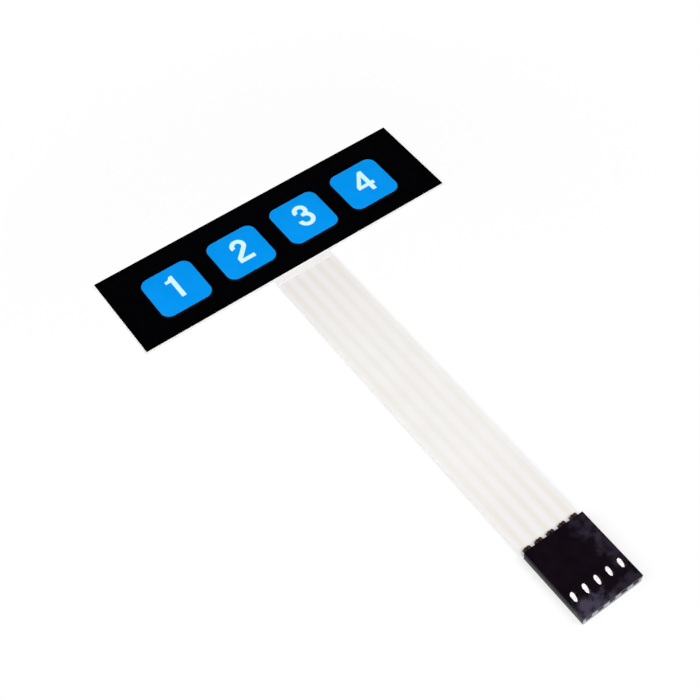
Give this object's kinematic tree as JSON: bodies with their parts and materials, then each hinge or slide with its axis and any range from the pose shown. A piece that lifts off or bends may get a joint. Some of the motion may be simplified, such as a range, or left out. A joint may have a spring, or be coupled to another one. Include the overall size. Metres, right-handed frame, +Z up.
{
  "type": "membrane keypad",
  "caption": "Flat adhesive-backed membrane keypad with raised numbered keys in a row, a flexible flat tail and a black socket connector for header pins.",
  "frame": {"origin": "middle of the panel's back, on the outer face of the release liner", "axes": "+X along the row of keys from key 1 to key 4, +Y from the connector towards the keys, +Z up out of the key faces"},
  "size_m": [0.07, 0.1087, 0.0025],
  "materials": {
    "printed_film": "satin polyester film, printed black",
    "key_ink": "blue screen-printed ink, with pale numerals",
    "clear_adhesive": "acrylic adhesive film",
    "milky_film": "translucent white polyester film",
    "silver_print": "matt printed silver ink",
    "spring_steel": "bright rolled stainless steel",
    "liner_paper": "siliconised paper",
    "housing_plastic": "satin moulded black polyester",
    "tinned_bronze": "tin-plated phosphor bronze"
  },
  "bodies": {
    "root": {"graphic_overlay": "printed_film", "key_print": "key_ink", "overlay_adhesive": "clear_adhesive", "dome_spacer": "milky_film", "snap_dome_1": "spring_steel", "snap_dome_2": "spring_steel", "snap_dome_3": "spring_steel", "snap_dome_4": "spring_steel", "common_conductor": "silver_print", "key_conductor_1": "silver_print", "key_conductor_2": "silver_print", "key_conductor_3": "silver_print", "key_conductor_4": "silver_print", "circuit_film": "milky_film", "tail_cover": "milky_film", "back_adhesive": "clear_adhesive", "release_liner": "liner_paper", "connector_housing": "housing_plastic", "crimp_contact_1": "tinned_bronze", "crimp_contact_2": "tinned_bronze", "crimp_contact_3": "tinned_bronze", "crimp_contact_4": "tinned_bronze", "crimp_contact_5": "tinned_bronze"}
  },
  "joints": []
}
